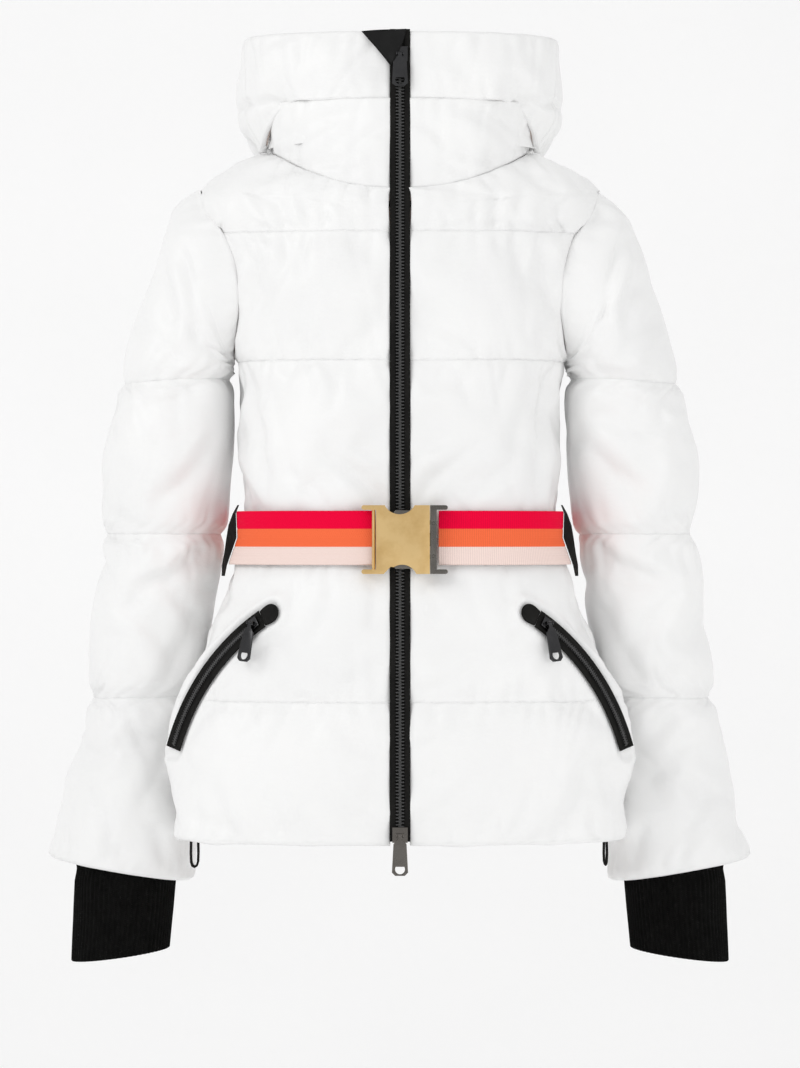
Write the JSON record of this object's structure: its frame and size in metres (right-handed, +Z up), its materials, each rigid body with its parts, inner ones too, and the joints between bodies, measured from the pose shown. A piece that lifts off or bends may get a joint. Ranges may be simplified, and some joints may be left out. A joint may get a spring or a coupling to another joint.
{
  "type": "ski jacket",
  "caption": "Quilted puffer ski jacket with a funnel hood, two-way front zip, curved zipped pockets, a striped elastic belt with a side-release buckle, and rib-knit cuffs.",
  "frame": {"origin": "crown of the hanger loop at the inside back of the neck", "axes": "+Z up, -Y to the wearer's front, +X to the wearer's left"},
  "size_m": [0.68, 0.2858, 0.8806],
  "materials": {
    "shell_fabric": "soft sheen",
    "lining": "matt",
    "facing": "soft sheen",
    "rib_knit": "matt rib",
    "zip_teeth": "glossy",
    "zip_tape": "woven",
    "webbing": "woven",
    "black_metal": "black nickel",
    "gunmetal": "dark polished",
    "brushed_brass": "brushed, mottled",
    "elastic": "three stripes",
    "stripe_red": "woven",
    "stripe_orange": "woven",
    "stripe_pink": "woven"
  },
  "bodies": {
    "shell": {"yoke_left": "shell_fabric", "yoke_right": "shell_fabric", "yoke_back": "shell_fabric", "chest_left": "shell_fabric", "chest_right": "shell_fabric", "chest_back": "shell_fabric", "midriff_left": "shell_fabric", "midriff_right": "shell_fabric", "midriff_back": "shell_fabric", "hip_left": "shell_fabric", "hip_right": "shell_fabric", "hip_back": "shell_fabric", "hem_left": "shell_fabric", "hem_right": "shell_fabric", "hem_back": "shell_fabric", "lining_left": "lining", "lining_right": "lining", "lining_back": "lining", "collar_left": "shell_fabric", "collar_right": "shell_fabric", "brim_left": "shell_fabric", "brim_right": "shell_fabric", "hood_left": "shell_fabric", "hood_right": "shell_fabric", "zip_tape_left": "zip_tape", "zip_tape_right": "zip_tape", "zip_teeth_left": "zip_teeth", "zip_teeth_right": "zip_teeth", "zip_facing": "facing", "pocket_zip_left": "zip_tape", "pocket_patch_left": "webbing", "pocket_zip_right": "zip_tape", "pocket_patch_right": "webbing", "elastic_belt": "elastic", "belt_loop_left": "webbing", "belt_loop_right": "webbing", "buckle_socket": "brushed_brass", "hanger_loop": "webbing", "hem_tabs": "webbing"},
    "sleeve_left": {"sleeve_head_left": "shell_fabric", "sleeve_upper_left": "shell_fabric", "sleeve_lower_left": "shell_fabric", "sleeve_end_left": "shell_fabric", "cuff_left": "rib_knit"},
    "sleeve_right": {"sleeve_head_right": "shell_fabric", "sleeve_upper_right": "shell_fabric", "sleeve_lower_right": "shell_fabric", "sleeve_end_right": "shell_fabric", "cuff_right": "rib_knit"},
    "top_slider": {"top_slider": "black_metal"},
    "top_puller": {"top_puller": "black_metal"},
    "bottom_slider": {"bottom_slider": "gunmetal"},
    "bottom_puller": {"bottom_puller": "gunmetal"},
    "pocket_slider_left": {"pocket_slider_left": "black_metal"},
    "pocket_slider_right": {"pocket_slider_right": "black_metal"},
    "pocket_puller_left": {"pocket_puller_left": "black_metal"},
    "pocket_puller_right": {"pocket_puller_right": "black_metal"},
    "plug": {"buckle_plug": "gunmetal"},
    "prong_top": {"prong_top": "gunmetal"},
    "prong_bottom": {"prong_bottom": "gunmetal"}
  },
  "joints": [
    {"name": "left_sleeve_swing", "type": "hinge", "parent": "shell", "child": "sleeve_left", "pos_m": [0.1955, -0.06, 0.002], "axis": [0, -1, 0], "range_deg": [0, 35]},
    {"name": "right_sleeve_swing", "type": "hinge", "parent": "shell", "child": "sleeve_right", "pos_m": [-0.1955, -0.06, 0.002], "axis": [0, 1, 0], "range_deg": [0, 35]},
    {"name": "top_slider_travel", "type": "slide", "parent": "shell", "child": "top_slider", "axis": [0, -0.0797, -0.9968], "range_m": [0, 0.38], "deforming": ["zip_teeth_left", "zip_teeth_right"]},
    {"name": "bottom_slider_travel", "type": "slide", "parent": "shell", "child": "bottom_slider", "axis": [0, 0.0797, 0.9968], "range_m": [0, 0.21], "deforming": ["zip_teeth_left", "zip_teeth_right"]},
    {"name": "top_puller_swing", "type": "hinge", "parent": "top_slider", "child": "top_puller", "pos_m": [0, -0.14796, 0.12257], "axis": [-1, 0, 0], "range_deg": [0, 165]},
    {"name": "bottom_puller_swing", "type": "hinge", "parent": "bottom_slider", "child": "bottom_puller", "pos_m": [0, -0.20561, -0.59813], "axis": [-1, 0, 0], "range_deg": [0, 165]},
    {"name": "left_pocket_slider_travel", "type": "hinge", "parent": "shell", "child": "pocket_slider_left", "pos_m": [0.02938, -0.23012, -0.58242], "axis": [-0.4543, 0.8902, -0.0343], "range_deg": [0, 31], "deforming": ["pocket_zip_left"]},
    {"name": "right_pocket_slider_travel", "type": "hinge", "parent": "shell", "child": "pocket_slider_right", "pos_m": [-0.02938, -0.23012, -0.58242], "axis": [-0.4543, -0.8902, 0.0343], "range_deg": [0, 31], "deforming": ["pocket_zip_right"]},
    {"name": "left_pocket_puller_swing", "type": "hinge", "parent": "pocket_slider_left", "child": "pocket_puller_left", "pos_m": [0.13777, -0.17491, -0.40538], "axis": [-0.8175, -0.5704, -0.0795], "range_deg": [0, 150]},
    {"name": "right_pocket_puller_swing", "type": "hinge", "parent": "pocket_slider_right", "child": "pocket_puller_right", "pos_m": [-0.13777, -0.17491, -0.40538], "axis": [-0.8175, 0.5704, 0.0795], "range_deg": [0, 150]},
    {"name": "buckle_release", "type": "slide", "parent": "shell", "child": "plug", "axis": [1, 0, 0], "range_m": [0, 0.042], "deforming": ["elastic_belt", "prong_top", "prong_bottom"]},
    {"name": "prong_top_press", "type": "hinge", "parent": "plug", "child": "prong_top", "pos_m": [0.0307, -0.19, -0.3135], "axis": [0, -1, 0], "range_deg": [0, 5], "stiffness_Nm_per_rad": 0.5},
    {"name": "prong_bottom_press", "type": "hinge", "parent": "plug", "child": "prong_bottom", "pos_m": [0.0307, -0.19, -0.3435], "axis": [0, 1, 0], "range_deg": [0, 5], "stiffness_Nm_per_rad": 0.5}
  ]
}
